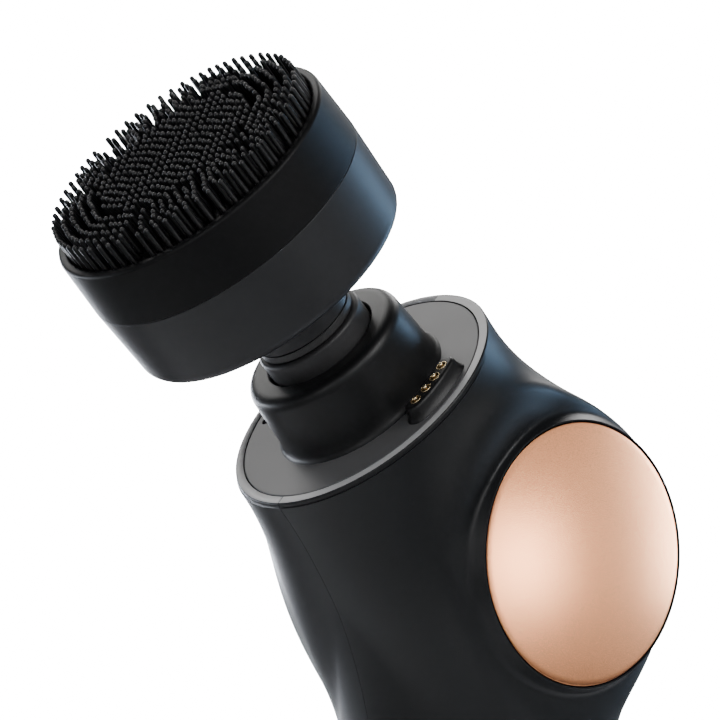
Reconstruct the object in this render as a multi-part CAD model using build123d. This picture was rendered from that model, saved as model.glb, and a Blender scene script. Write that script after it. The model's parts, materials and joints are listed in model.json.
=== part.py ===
"""Facial cleansing brush: a percussion handpiece with a pull-off silicone brush head.

Row frame, millimetres: +Z up the handle, origin at the centre of the flat foot,
-Y the way the brush points, X across the two gold discs.
Three tubes meet at the core: the handle, the cross tube and the head tube, which leans 45 degrees.
Head-frame heights are measured along the head axis from the top plate, away from the core.
"""
from build123d import *
import math
import os

os.makedirs("parts", exist_ok=True)

# ---- driving dimensions -------------------------------------------------------------------------
CORE_Z = 82.0            # height of the point where the three tubes meet
HEAD_TILT = 45.0         # head axis above the horizontal, degrees
HEAD_REACH = 35.6        # core to the face of the top plate
RIM_R = 24.0             # head tube at its rim
HEAD_ROOT_R = 22.5       # head tube at the core
CROSS_R = 22.9           # cross tube
CROSS_HALF = 25.0        # half the width of the cross tube
LIP_R = 21.45            # the cross tube tapers to this at each gold disc
LIP_LENGTH = 3.0
WALL = 2.2               # shell wall
# handle sections: radius, height
HANDLE = [(19.9, 2.0), (20.25, 10.0), (20.9, 24.0), (21.7, 42.0), (22.3, 60.0), (22.45, 78.5)]
FOOT_R = 16.8            # soft foot pad

PLATE_R = 22.2           # top plate
PLATE_T = 2.2
PLATE_POCKET_R = 22.4
PLATE_HOLE_R = 11.2
GASKET_T = 1.2
LEDGE_R = 20.4
LEDGE_T = 2.2

COLLAR_BASE_R = 15.3     # spreading foot of the collar
COLLAR_LOW_R = 14.6
COLLAR_HIGH_R = 14.0
COLLAR_TOP = 11.8
NECK_R = 9.3             # moving spindle head
NECK_LOW = 6.5
NECK_TOP = 15.2
NECK_GAP = 0.4
SPIGOT_R = 6.0           # the brush hub slips over this
SPIGOT_TOP = 22.4
ROD_R = 2.5
BUSH_R = 5.0
RUNNING = 0.04           # radial clearance of a running fit

PIN_RING_R = 18.9        # spring contacts stand on this circle
PIN_PITCH = 2.54
PIN_COUNT = 4
PIN_R = 0.5
BARREL_R = 0.95
BLOCK_TOP = 2.4
BLOCK_HALF_W = 1.65

STROKE = 3.0             # percussion stroke
THROW = STROKE / 2
SLOT_SLACK = 0.4         # play of the roller in the yoke, along the stroke

BRUSH_LOW = 25.5         # underside of the brush head
BRUSH_SEAM = 39.0        # housing meets silicone
BRUSH_LIP = 48.8
BRUSH_R = 24.7
BRUSH_LOW_R = 24.2
BRUSH_LIP_R = 24.4
FIELD_LOW = 47.9         # face that the bristles grow from
FIELD_TOP = 53.0
FIELD_R = 22.9
HUB_R = 8.3
HUB_LOW = 16.6

DISC_R = 20.9            # gold side discs
DISC_RISE = 1.2
DISC_POCKET_R = 21.1     # leaves a fine dark gap round each disc
WEB_IN = 20.2            # seat of the discs, distance from the middle plane
WEB_OUT = 22.0
POST_RING_R = 17.4
POST_R = 2.2
POST_ANGLES = (45.0, 200.0, 325.0)

BUTTONS = {"top": (58.0, 3.4), "power": (46.5, 4.6), "bottom": (35.0, 3.4)}      # height, radius
BUTTON_PROUD = 0.6
BUTTON_TRAVEL = 0.5
BUTTON_PLAY = 0.2
BOARD_Y = 6.0
BOARD_T = 1.6
SWITCH_H = 3.4

WEB_HOLE_R = 14.0
DISC_GASKET_T = 0.5
DISC_BACK = 23.9         # back face of the discs, clear of the screw heads
TUBE_START = 2.0         # the head tube starts this far from the core
BASE_CAP_LOW = 0.8       # the foot stands proud of the base cap by this much
BASE_CAP_T = 3.0
BASE_CAP_R = 17.9
FOOT_DEPTH = 1.0         # the foot pad is let into the base cap by this much
CONTACT_X = 5.0          # charging contacts
CONTACT_R = 1.6
BASE_SCREW_X = 12.2
SCREW_HOLE_R = 1.1
SCREW_HEAD_R = 1.9
SCREW_CORE_R = 0.95
SCREW_GRIP = 7.0
WINDOW_W = 16.0
WINDOW_H = 11.0
WINDOW_BACK = 19.6       # inner face of the display window
NOTCH_AT = (-19.6, -4.7) # small locating hole in the top plate
NOTCH_R = 0.9
BLOCK_HALF_ANGLE = 13.6
BLOCK_STEP = 1.2
SEAL_TOP = 8.8
SEAL_R = 11.4
BARREL_LOW = -4.0
PIN_TRAVEL = 0.7
PIN_TIP = 3.1
GUIDE_LOW = -15.0
GUIDE_TOP = 3.0
GUIDE_FLANGE_R = 19.4
GUIDE_HOLE_R = 3.2       # holes that lighten the flange
GUIDE_HOLE_RING_R = 14.0
COLLAR_BORE_R = 10.2     # bore of the collar below its seal
ROD_TOP = 12.0
MAGNET_R = 4.6
MAGNET_T = 2.4
HUB_CEILING = 25.0
YOKE_HALF_T = 2.4
YOKE_BOSS_LOW = 6.0
CROSS_PIN_R = 0.8
CROSS_PIN_RISE = 3.2     # above the lower end of the rod
WHEEL_R = 8.5            # crank wheel
WHEEL_T = 2.9
WEIGHT_R = 11.6
ROLLER_R = 3.0
CRANK_FACE = 3.5
CRANK_PIN_R = 1.5
SHAFT_R = 1.5
BEARING_R = 3.5
BELL_R = 14.6
BELL_IN = 9.8
BELL_OUT = 19.6
BELL_T = 1.2
VENT_R = 2.2
VENT_RING_R = 8.6
CHASSIS_IN = 7.0
CHASSIS_OUT = 8.8
BEARING_T = 3.0
BEARING_LOWS = (9.8, 14.2)
MAGNETS = 12
MAGNET_W = 5.6
TEETH = 9
STATOR_R = 11.8
STATOR_LOW = 10.8
STATOR_HIGH = 16.4
TOOTH_W = 2.0
COIL_W = 3.6
COIL_OVER = 0.7          # the windings stand over the teeth by this much
DRIVE_BOARD_R = 14.5
DRIVE_BOARD_OUT = -14.6
DRIVE_BOARD_IN = -13.2
CELL_LOW = 6.5
CELL_TOP = 58.0
BATTERY_R = 9.1
BATTERY_Y = -6.0
CRADLE_WALL = 1.4
CELL_PLAY = 0.1
SUPPORT_R = 22.0
SUPPORT_LOW = 43.0
SUPPORT_TOP = 46.4
POST_CIRCLE = 16.0       # screw posts in the brush head
BRUSH_POST_R = 2.4
BRUSH_POST_ANGLES = (30, 150, 270)

CORE = Vector(0, 0, CORE_Z)
LEAN = math.radians(HEAD_TILT)
HEAD_DIR = Vector(0, -math.cos(LEAN), math.sin(LEAN))
HEAD = Plane(origin=CORE + HEAD_DIR * HEAD_REACH, x_dir=(1, 0, 0), z_dir=HEAD_DIR)
CORE_HEAD = Plane(origin=CORE, x_dir=(1, 0, 0), z_dir=HEAD_DIR)
MOTOR = Plane(origin=CORE, x_dir=(0, 1, 0), z_dir=(1, 0, 0))
CORE_SIDE = Plane(origin=CORE, x_dir=Vector(0, HEAD_DIR.Z, -HEAD_DIR.Y), z_dir=(1, 0, 0))
BACK = Plane(origin=(0, 0, 0), x_dir=(-1, 0, 0), z_dir=(0, 1, 0))

parts = {}


# ---- helpers ------------------------------------------------------------------------------------
def turned(outline, place=Plane.XY):
    """Solid of revolution about the place's Z axis; the outline lists (radius, height)."""
    points = [(r, 0, z) for r, z in outline]
    face = make_face(Polyline(*points, close=True))
    return place * revolve(face, Axis.Z)


def tube(outer, inner, low, high, place=Plane.XY, at=(0, 0)):
    """Ring, or a plain rod when inner is 0, between two heights."""
    ring = Pos(at[0], at[1], (low + high) / 2) * Cylinder(outer, high - low)
    if inner > 0:
        ring -= Pos(at[0], at[1], (low + high) / 2) * Cylinder(inner, high - low + 2)
    return place * ring


def block(x, y, z, place=Plane.XY):
    """Box from three (low, high) spans."""
    size = [span[1] - span[0] for span in (x, y, z)]
    middle = [(span[1] + span[0]) / 2 for span in (x, y, z)]
    return place * (Pos(*middle) * Box(*size))


def ring_points(radius, angles):
    """Points on a circle, at angles in degrees."""
    return [(radius * math.cos(math.radians(t)), radius * math.sin(math.radians(t))) for t in angles]


def group(solids):
    """Several separate solids in one node."""
    return Compound(children=list(solids))


def handle_radius(height):
    """Radius of the handle at a height, straight between the listed sections."""
    for (r0, z0), (r1, z1) in zip(HANDLE, HANDLE[1:]):
        if height <= z1:
            return r0 + (r1 - r0) * (height - z0) / (z1 - z0)
    return HANDLE[-1][0]


# ---- body shells --------------------------------------------------------------------------------
def body_solid(inset, floor, half_width, head_top):
    """The three tubes, all drawn in by the inset."""
    root = HEAD_REACH - TUBE_START
    root_r = HEAD_ROOT_R + (RIM_R - HEAD_ROOT_R) * TUBE_START / HEAD_REACH
    head = turned([(0, -root), (root_r - inset, -root), (RIM_R - inset, head_top), (0, head_top)], HEAD)
    cross = tube(CROSS_R - inset, 0, -half_width, half_width, MOTOR)
    rings = [(r - inset, z) for r, z in HANDLE]
    side = Spline(*[(r, 0, z) for r, z in rings])
    outline = side + Polyline(side @ 1, (0, 0, rings[-1][1]), (0, 0, floor),
                              (rings[0][0], 0, floor), side @ 0)
    handle = revolve(make_face(outline), Axis.Z)
    return head + cross + handle


def window_blank(play, near, far):
    """Round-cornered prism through the back wall, for the display window."""
    sketch = RectangleRounded(WINDOW_W + 2 * play, WINDOW_H + 2 * play, 2.5)
    return BACK * (Pos(0, CORE_Z, near) * extrude(sketch, far - near))


def lip_taper(side):
    """What the tapered lip round a gold disc takes off the end of the cross tube."""
    shoulder = CROSS_HALF - LIP_LENGTH
    outline = [(CROSS_R, shoulder), (CROSS_R + 1, shoulder), (CROSS_R + 1, CROSS_HALF + 1),
               (LIP_R, CROSS_HALF + 1), (LIP_R, CROSS_HALF)]
    return turned(outline, Plane(origin=CORE, x_dir=(0, side, 0), z_dir=(side, 0, 0)))


def make_shells():
    shell = body_solid(0, BASE_CAP_LOW, CROSS_HALF, 0) - body_solid(WALL, 0.0, WEB_IN, 1.0)
    ledge_top = -PLATE_T - GASKET_T
    shell += tube(RIM_R - 0.8, LEDGE_R, ledge_top - LEDGE_T, ledge_top, HEAD)
    shell -= tube(PLATE_POCKET_R, 0, ledge_top, 1, HEAD)
    for side in (1, -1):
        seat = sorted((side * (WEB_IN - 1), side * (CROSS_HALF + 1)))
        pocket = sorted((side * WEB_OUT, side * (CROSS_HALF + 1)))
        shell -= tube(WEB_HOLE_R, 0, *seat, MOTOR)
        shell -= tube(DISC_POCKET_R, 0, *pocket, MOTOR)
        shell -= lip_taper(side)
        for at in ring_points(POST_RING_R, POST_ANGLES):
            shell -= tube(SCREW_HOLE_R, 0, *seat, MOTOR, at)
    for height, radius in BUTTONS.values():
        shell -= tube(radius + BUTTON_PLAY, 0, 12, 30, BACK, (0, height))
    shell -= window_blank(0, 16, 32)
    shell -= tube(BASE_CAP_R, 0, 0, BASE_CAP_LOW + BASE_CAP_T)
    parts["right_shell"] = shell & block((0, 60), (-80, 60), (-5, 140))
    parts["left_shell"] = shell & block((-60, 0), (-80, 60), (-5, 140))


def make_base():
    """Base cap with its screws, under a soft foot pad that carries the two charging contacts."""
    cap_top = BASE_CAP_LOW + BASE_CAP_T
    pocket = BASE_CAP_LOW + FOOT_DEPTH
    outline = [(0, BASE_CAP_LOW), (BASE_CAP_R - 0.6, BASE_CAP_LOW), (BASE_CAP_R - 0.1, BASE_CAP_LOW + 0.5),
               (BASE_CAP_R - 0.1, cap_top), (0, cap_top)]
    cap = turned(outline)
    cap -= tube(FOOT_R + 0.1, 0, 0, pocket)
    pad = turned([(0, 0), (FOOT_R - 0.3, 0), (FOOT_R, 0.3), (FOOT_R, pocket), (0, pocket)])
    contacts = []
    screws = []
    for side in (-1, 1):
        place = Pos(side * CONTACT_X, 0, 0)
        cap -= place * tube(CONTACT_R, 0, 0, cap_top + 1)
        pad -= place * tube(CONTACT_R + 0.3, 0, -1, cap_top)
        contact = tube(CONTACT_R - 0.05, 0, 0.5, cap_top + 0.6)
        contact += tube(CONTACT_R + 0.8, 0, cap_top, cap_top + 0.8)
        contacts.append(place * contact)
        place = Pos(side * BASE_SCREW_X, 0, 0)
        cap -= place * tube(SCREW_HOLE_R, 0, 0, cap_top + 1)
        cap -= place * tube(SCREW_HEAD_R + 0.1, 0, 0, cap_top - 0.8)
        screw = tube(SCREW_HEAD_R, 0, pocket + 0.1, cap_top - 0.8)
        screw += tube(SCREW_CORE_R, 0, cap_top - 0.8, cap_top + 4.0)
        screws.append(place * screw)
    parts["base_cap"] = cap
    parts["foot_pad"] = pad
    parts["charge_contacts"] = group(contacts)
    parts["base_screws"] = group(screws)


# ---- gold side discs ----------------------------------------------------------------------------
def make_discs():
    edge_r = DISC_R - 0.25
    dome_r = (edge_r ** 2 + DISC_RISE ** 2) / (2 * DISC_RISE)
    middle_r = edge_r / 2
    sag = dome_r - math.sqrt(dome_r ** 2 - middle_r ** 2)
    crown = CROSS_HALF + DISC_RISE
    dome = ThreePointArc((0, 0, crown), (middle_r, 0, crown - sag), (edge_r, 0, CROSS_HALF))
    skirt_low = WEB_OUT + DISC_GASKET_T
    skirt_r = DISC_R - 1.0
    rest = Polyline((edge_r, 0, CROSS_HALF), (DISC_R, 0, CROSS_HALF - 0.25), (DISC_R, 0, skirt_low),
                    (skirt_r, 0, skirt_low), (skirt_r, 0, DISC_BACK), (0, 0, DISC_BACK), (0, 0, crown))
    disc = revolve(make_face(dome + rest), Axis.Z)
    for name, side in (("right", 1), ("left", -1)):
        place = Plane(origin=CORE, x_dir=(0, side, 0), z_dir=(side, 0, 0))
        parts[f"{name}_gold_disc"] = place * disc
        parts[f"{name}_disc_gasket"] = tube(DISC_R, skirt_r, WEB_OUT, skirt_low, place)


# ---- top plate, collar and spring contacts -------------------------------------------------------
def pin_places():
    step = math.degrees(PIN_PITCH / PIN_RING_R)
    angles = [(i - (PIN_COUNT - 1) / 2) * step for i in range(PIN_COUNT)]
    return ring_points(PIN_RING_R, angles)


def contact_block(radius_in, radius_out, low, high, half_angle):
    """Arc-shaped block with round ends, centred on the spring contacts."""
    ends = ring_points(PIN_RING_R, (-half_angle, half_angle))
    reach = math.radians(half_angle)
    wedge = extrude(make_face(Polyline((0, 0), (40, -40 * math.tan(reach)),
                                       (40, 40 * math.tan(reach)), close=True)), high - low)
    arc = Pos(0, 0, low) * wedge & tube(radius_out, radius_in, low, high)
    for at in ends:
        arc += tube((radius_out - radius_in) / 2, 0, low, high, at=at)
    return arc


def make_top_plate():
    plate = tube(PLATE_R, PLATE_HOLE_R, -PLATE_T, 0)
    rim = plate.edges().filter_by(GeomType.CIRCLE).group_by(Axis.Z)[-1].sort_by(SortBy.RADIUS)[-1]
    plate = chamfer(rim, 0.2)
    plate -= contact_block(PIN_RING_R - BLOCK_HALF_W, PIN_RING_R + BLOCK_HALF_W, -3, 1, BLOCK_HALF_ANGLE)
    plate -= tube(NOTCH_R, 0, -1.4, 1, at=NOTCH_AT)
    parts["top_plate"] = HEAD * plate
    ledge_top = -PLATE_T - GASKET_T
    parts["plate_gasket"] = tube(PLATE_R, LEDGE_R + 0.3, ledge_top, -PLATE_T, HEAD)


def make_collar():
    bore_r = NECK_R + NECK_GAP
    outline = [(COLLAR_BASE_R, 0), (COLLAR_BASE_R - 0.35, 0.45), (COLLAR_LOW_R + 0.1, 1.3),
               (COLLAR_LOW_R, 2.5), (COLLAR_HIGH_R, COLLAR_TOP - 2.2),
               (COLLAR_HIGH_R - 0.35, COLLAR_TOP - 1.1), (COLLAR_HIGH_R - 1.2, COLLAR_TOP - 0.3),
               (COLLAR_HIGH_R - 2.2, COLLAR_TOP), (bore_r + 0.8, COLLAR_TOP), (bore_r, COLLAR_TOP - 0.8),
               (bore_r, SEAL_TOP), (SEAL_R, SEAL_TOP), (SEAL_R, 4.0), (COLLAR_BORE_R, 3.0),
               (COLLAR_BORE_R, -PLATE_T), (PLATE_HOLE_R, -PLATE_T), (PLATE_HOLE_R, 0)]
    collar = turned(outline)
    low = -PLATE_T
    stem = contact_block(PIN_RING_R - BLOCK_HALF_W, PIN_RING_R + BLOCK_HALF_W, low, BLOCK_TOP,
                         BLOCK_HALF_ANGLE)
    bridge = contact_block(COLLAR_LOW_R - 1.0, PIN_RING_R, 0, BLOCK_STEP, BLOCK_HALF_ANGLE - 3)
    collar += stem
    collar += bridge - tube(COLLAR_LOW_R - 0.6, 0, -1, 4)
    for at in pin_places():
        collar -= tube(BARREL_R, 0, low - 1, BLOCK_TOP + 1, at=at)
    parts["collar"] = HEAD * collar
    seal = [(NECK_R + 0.1, SEAL_TOP - 0.4), (NECK_R + 0.3, SEAL_TOP), (SEAL_R, SEAL_TOP),
            (SEAL_R, SEAL_TOP - 1.8), (NECK_R + 0.6, SEAL_TOP - 1.8)]
    parts["wiper_seal"] = turned(seal, HEAD)


def make_contacts():
    barrels = []
    for number, at in enumerate(pin_places(), start=1):
        barrels.append(tube(BARREL_R, PIN_R + RUNNING, BARREL_LOW, BLOCK_TOP + 0.1, HEAD, at))
        pin = tube(PIN_R, 0, BARREL_LOW + PIN_TRAVEL + 0.4, PIN_TIP - PIN_R, at=at)
        pin += Pos(at[0], at[1], PIN_TIP - PIN_R) * Sphere(PIN_R - 0.001)
        parts[f"contact_pin_{number}"] = HEAD * pin
    parts["contact_barrels"] = group(barrels)


def make_guide():
    sleeve_r = BUSH_R + 2.2
    flange_low = -PLATE_T - 2.2
    outline = [(BUSH_R, GUIDE_LOW), (sleeve_r, GUIDE_LOW), (sleeve_r, flange_low),
               (GUIDE_FLANGE_R, flange_low), (GUIDE_FLANGE_R, -PLATE_T), (sleeve_r, -PLATE_T),
               (sleeve_r, GUIDE_TOP), (BUSH_R, GUIDE_TOP)]
    guide = turned(outline)
    for at in pin_places():
        guide -= tube(BARREL_R + 0.5, 0, -6, 0, at=at)
    for at in ring_points(GUIDE_HOLE_RING_R, (90, 210, 330)):
        guide -= tube(GUIDE_HOLE_R, 0, -6, 0, at=at)
    parts["guide_frame"] = HEAD * guide
    parts["guide_bush"] = tube(BUSH_R, ROD_R + RUNNING, GUIDE_LOW, GUIDE_TOP, HEAD)


# ---- spindle: the part that strokes --------------------------------------------------------------
def make_spindle():
    pocket = SPIGOT_TOP - MAGNET_T
    outline = [(ROD_R, NECK_LOW), (NECK_R - 1.2, NECK_LOW), (NECK_R, NECK_LOW + 1.2),
               (NECK_R, NECK_TOP - 0.8), (NECK_R - 0.3, NECK_TOP - 0.25), (NECK_R - 0.8, NECK_TOP),
               (SPIGOT_R, NECK_TOP), (SPIGOT_R, SPIGOT_TOP - 0.8), (SPIGOT_R - 0.8, SPIGOT_TOP),
               (MAGNET_R, SPIGOT_TOP), (MAGNET_R, pocket), (0, pocket), (0, ROD_TOP), (ROD_R, ROD_TOP)]
    parts["spindle_head"] = turned(outline, HEAD)
    parts["spindle_magnet"] = tube(MAGNET_R, 0, pocket, SPIGOT_TOP - 0.1, HEAD)
    rod_low = -HEAD_REACH + YOKE_BOSS_LOW + 1.1 - THROW
    rod = tube(ROD_R, 0, rod_low, ROD_TOP, HEAD)
    across = HEAD * (Pos(0, 0, rod_low + CROSS_PIN_RISE) * Rotation(0, 90, 0))
    rod -= across * Cylinder(CROSS_PIN_R, 10)
    parts["spindle_rod"] = rod
    centre = -THROW
    yoke = block((-YOKE_HALF_T, YOKE_HALF_T), (-8.2, 8.2), (centre - 6.4, centre + 6.4), CORE_HEAD)
    yoke += block((-YOKE_HALF_T - 0.6, YOKE_HALF_T + 0.6), (-4.6, 4.6),
                  (centre + 6.0, centre + YOKE_BOSS_LOW + 7.0), CORE_HEAD)
    slot_h = ROLLER_R + SLOT_SLACK
    yoke -= block((-5, 5), (-(ROLLER_R + THROW + 0.5), ROLLER_R + THROW + 0.5),
                  (centre - slot_h, centre + slot_h), CORE_HEAD)
    yoke -= tube(ROD_R, 0, centre + YOKE_BOSS_LOW + 1.1, centre + 30, CORE_HEAD)
    cross_pin = across * Cylinder(CROSS_PIN_R, 2 * YOKE_HALF_T + 1.0)
    parts["yoke"] = yoke - cross_pin
    parts["yoke_cross_pin"] = cross_pin


# ---- crank and motor -----------------------------------------------------------------------------
def make_crank():
    pin_at = crank_pin_place()
    parts["motor_shaft"] = tube(SHAFT_R, 0, CRANK_FACE + 1.5, BELL_OUT, MOTOR)
    wheel = tube(WHEEL_R, 0, CRANK_FACE, CRANK_FACE + WHEEL_T, MOTOR)
    wheel -= tube(SHAFT_R, 0, CRANK_FACE + 1.5, CRANK_FACE + 4, MOTOR)
    wheel -= tube(CRANK_PIN_R, 0, CRANK_FACE - 1, CRANK_FACE + 1.4, MOTOR, pin_at)
    parts["crank_wheel"] = wheel
    parts["crank_pin"] = tube(CRANK_PIN_R, 0, -2.3, CRANK_FACE + 1.4, MOTOR, pin_at)
    parts["pin_roller"] = tube(ROLLER_R, CRANK_PIN_R, -2.1, 2.1, MOTOR, pin_at)
    weight = tube(WEIGHT_R, WHEEL_R, CRANK_FACE, CRANK_FACE + WHEEL_T, CORE_SIDE)
    weight &= CORE_SIDE * (Pos(0, 20, 0) * Box(60, 30, 60))
    parts["counterweight"] = weight
    bell = tube(BELL_R, BELL_R - BELL_T, BELL_IN, BELL_OUT - BELL_T, MOTOR)
    bell += tube(BELL_R, SHAFT_R, BELL_OUT - BELL_T, BELL_OUT, MOTOR)
    for at in ring_points(VENT_RING_R, range(0, 360, 60)):
        bell -= tube(VENT_R, 0, BELL_OUT - 3, BELL_OUT + 1, MOTOR, at)
    parts["rotor_bell"] = bell
    magnets = []
    ring = tube(BELL_R - BELL_T, BELL_R - 2 * BELL_T, BELL_IN + 0.6, BELL_OUT - 2.2)
    for number in range(MAGNETS):
        keep = Rotation(0, 0, number * 360 / MAGNETS) * (Pos(15, 0, 14) * Box(12, MAGNET_W, 40))
        magnets.append(MOTOR * (ring & keep))
    parts["rotor_magnets"] = group(magnets)


def crank_pin_place():
    """The pin starts at the bottom of the stroke, in the motor plane's own coordinates."""
    back = HEAD_DIR * -THROW
    return (back.Y, back.Z)


def make_motor():
    plate = tube(15.0, 3.0, CHASSIS_IN, CHASSIS_OUT, MOTOR)
    for angle in POST_ANGLES:
        arm = Pos(POST_RING_R / 2 + 3, 0, (CHASSIS_IN + CHASSIS_OUT) / 2)
        arm *= Box(POST_RING_R - 4, 5.6, CHASSIS_OUT - CHASSIS_IN)
        plate += MOTOR * (Rotation(0, 0, angle) * arm)
    plate += tube(BEARING_R + 1.5, 3.0, CHASSIS_OUT, BEARING_LOWS[1] + BEARING_T, MOTOR)
    plate -= tube(BEARING_R, 0, BEARING_LOWS[0], 18.0, MOTOR)
    for at in ring_points(POST_RING_R, POST_ANGLES):
        plate += tube(POST_R, 0, -WEB_IN, WEB_IN, MOTOR, at)
        plate -= tube(SCREW_CORE_R, 0, WEB_IN - SCREW_GRIP, WEB_IN + 1, MOTOR, at)
        plate -= tube(SCREW_CORE_R, 0, -WEB_IN - 1, -WEB_IN + SCREW_GRIP, MOTOR, at)
    parts["chassis"] = plate
    bearings = [tube(BEARING_R, SHAFT_R + RUNNING, low, low + BEARING_T, MOTOR) for low in BEARING_LOWS]
    parts["motor_bearings"] = group(bearings)
    core = tube(7.0, BEARING_R + 1.5, STATOR_LOW, STATOR_HIGH, MOTOR)
    middle = (STATOR_LOW + STATOR_HIGH) / 2
    depth = STATOR_HIGH - STATOR_LOW
    windings = []
    for number in range(TEETH):
        turn = Rotation(0, 0, number * 360 / TEETH)
        tooth = Pos(9.0, 0, middle) * Box(5.6, TOOTH_W, depth)
        core += MOTOR * (turn * tooth)
        tip = tube(STATOR_R, STATOR_R - 1.0, STATOR_LOW, STATOR_HIGH)
        tip &= Pos(STATOR_R, 0, 14) * Box(4, 6.2, 40)
        core += MOTOR * (turn * tip)
        coil = Pos(8.9, 0, middle) * Box(3.0, COIL_W, depth + 2 * COIL_OVER)
        windings.append(MOTOR * (turn * (coil - tooth)))
    parts["stator_core"] = core
    parts["stator_windings"] = group(windings)
    screws = []
    for side in (1, -1):
        place = MOTOR if side > 0 else Plane(origin=CORE, x_dir=(0, 1, 0), z_dir=(-1, 0, 0))
        spots = ring_points(POST_RING_R, [side * a for a in POST_ANGLES])
        for at in spots:
            head = tube(SCREW_HEAD_R, 0, WEB_OUT, WEB_OUT + 1.3, place, at)
            stem = tube(SCREW_CORE_R - 0.01, 0, WEB_IN - SCREW_GRIP + 0.5, WEB_OUT, place, at)
            screws.append(head + stem)
    parts["chassis_screws"] = group(screws)


# ---- electronics ---------------------------------------------------------------------------------
def make_electronics():
    parts["main_board"] = block((-11, 11), (BOARD_Y, BOARD_Y + BOARD_T), (8, 62))
    chips = [block((-8, -2), (BOARD_Y - 1.2, BOARD_Y), (50, 56)),
             block((1, 8), (BOARD_Y - 1.0, BOARD_Y), (44, 51)),
             block((-8, -3), (BOARD_Y - 0.9, BOARD_Y), (12, 17)),
             block((4, 8.5), (BOARD_Y + BOARD_T, BOARD_Y + BOARD_T + 2.2), (10, 16))]
    parts["board_components"] = group(chips)
    back = BOARD_Y + BOARD_T
    switches = []
    for height, _ in BUTTONS.values():
        switches.append(block((-3, 3), (back, back + SWITCH_H), (height - 3, height + 3)))
    parts["tact_switches"] = group(switches)
    parts["drive_board"] = tube(DRIVE_BOARD_R, 0, DRIVE_BOARD_OUT, DRIVE_BOARD_IN, MOTOR)
    chips = [block((DRIVE_BOARD_IN, DRIVE_BOARD_IN + 1.8), (-6, 0), (CORE_Z - 8, CORE_Z - 2)),
             block((DRIVE_BOARD_IN, DRIVE_BOARD_IN + 1.3), (3, 9), (CORE_Z + 1, CORE_Z + 6)),
             block((DRIVE_BOARD_OUT - 2.6, DRIVE_BOARD_OUT), (-5, 5), (CORE_Z - 3, CORE_Z + 3))]
    parts["drive_components"] = group(chips)
    parts["battery_cell"] = tube(BATTERY_R, 0, CELL_LOW, CELL_TOP, at=(0, BATTERY_Y))
    outer_r = BATTERY_R + CRADLE_WALL
    cap_low, cap_top = CELL_TOP + 0.1, CELL_TOP + CRADLE_WALL
    cradle = tube(outer_r, BATTERY_R + CELL_PLAY, CELL_LOW + 1.5, CELL_TOP - 2.0, at=(0, BATTERY_Y))
    cradle &= block((-20, 20), (-30, BATTERY_Y + 2.0), (0, 80))
    cradle += block((-outer_r, outer_r), (BATTERY_Y - outer_r, BATTERY_Y + 4), (cap_low, cap_top))
    cradle += block((-3, 3), (BATTERY_Y - outer_r, BATTERY_Y - outer_r + 0.8), (20, cap_top))
    for side in (-1, 1):
        span = sorted((side * (BATTERY_R + 0.2), side * outer_r))
        for low, high in ((12, 20), (38, 46)):
            cradle += block(span, (BATTERY_Y + 1.0, BOARD_Y), (low, high))
    parts["battery_cradle"] = cradle


def make_display():
    window = window_blank(0, WINDOW_BACK, 32) & tube(CROSS_R - 0.05, 0, -WINDOW_W, WINDOW_W, MOTOR)
    parts["display_window"] = window
    parts["display_module"] = block((-7.0, 7.0), (WINDOW_BACK - 1.6, WINDOW_BACK),
                                    (CORE_Z - 4.5, CORE_Z + 4.5))


def make_buttons():
    back = BOARD_Y + BOARD_T + SWITCH_H
    for name, (height, radius) in BUTTONS.items():
        face = handle_radius(height) + BUTTON_PROUD
        cap = tube(radius, 0, face - 3.2, face, BACK, (0, height))
        edge = cap.edges().filter_by(GeomType.CIRCLE).sort_by(Axis.Y)[-1]
        cap = fillet(edge, 0.5)
        flange_r = radius + 0.8
        bore_r = handle_radius(height - flange_r) - WALL
        flange_top = math.sqrt(bore_r ** 2 - flange_r ** 2) - 0.15
        cap += tube(radius, 0, flange_top, face - 3.0, BACK, (0, height))
        cap += tube(flange_r, 0, flange_top - 1.2, flange_top, BACK, (0, height))
        cap += tube(1.5, 0, back + BUTTON_TRAVEL + 0.1, flange_top - 1.0, BACK, (0, height))
        parts[f"{name}_button"] = cap


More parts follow.
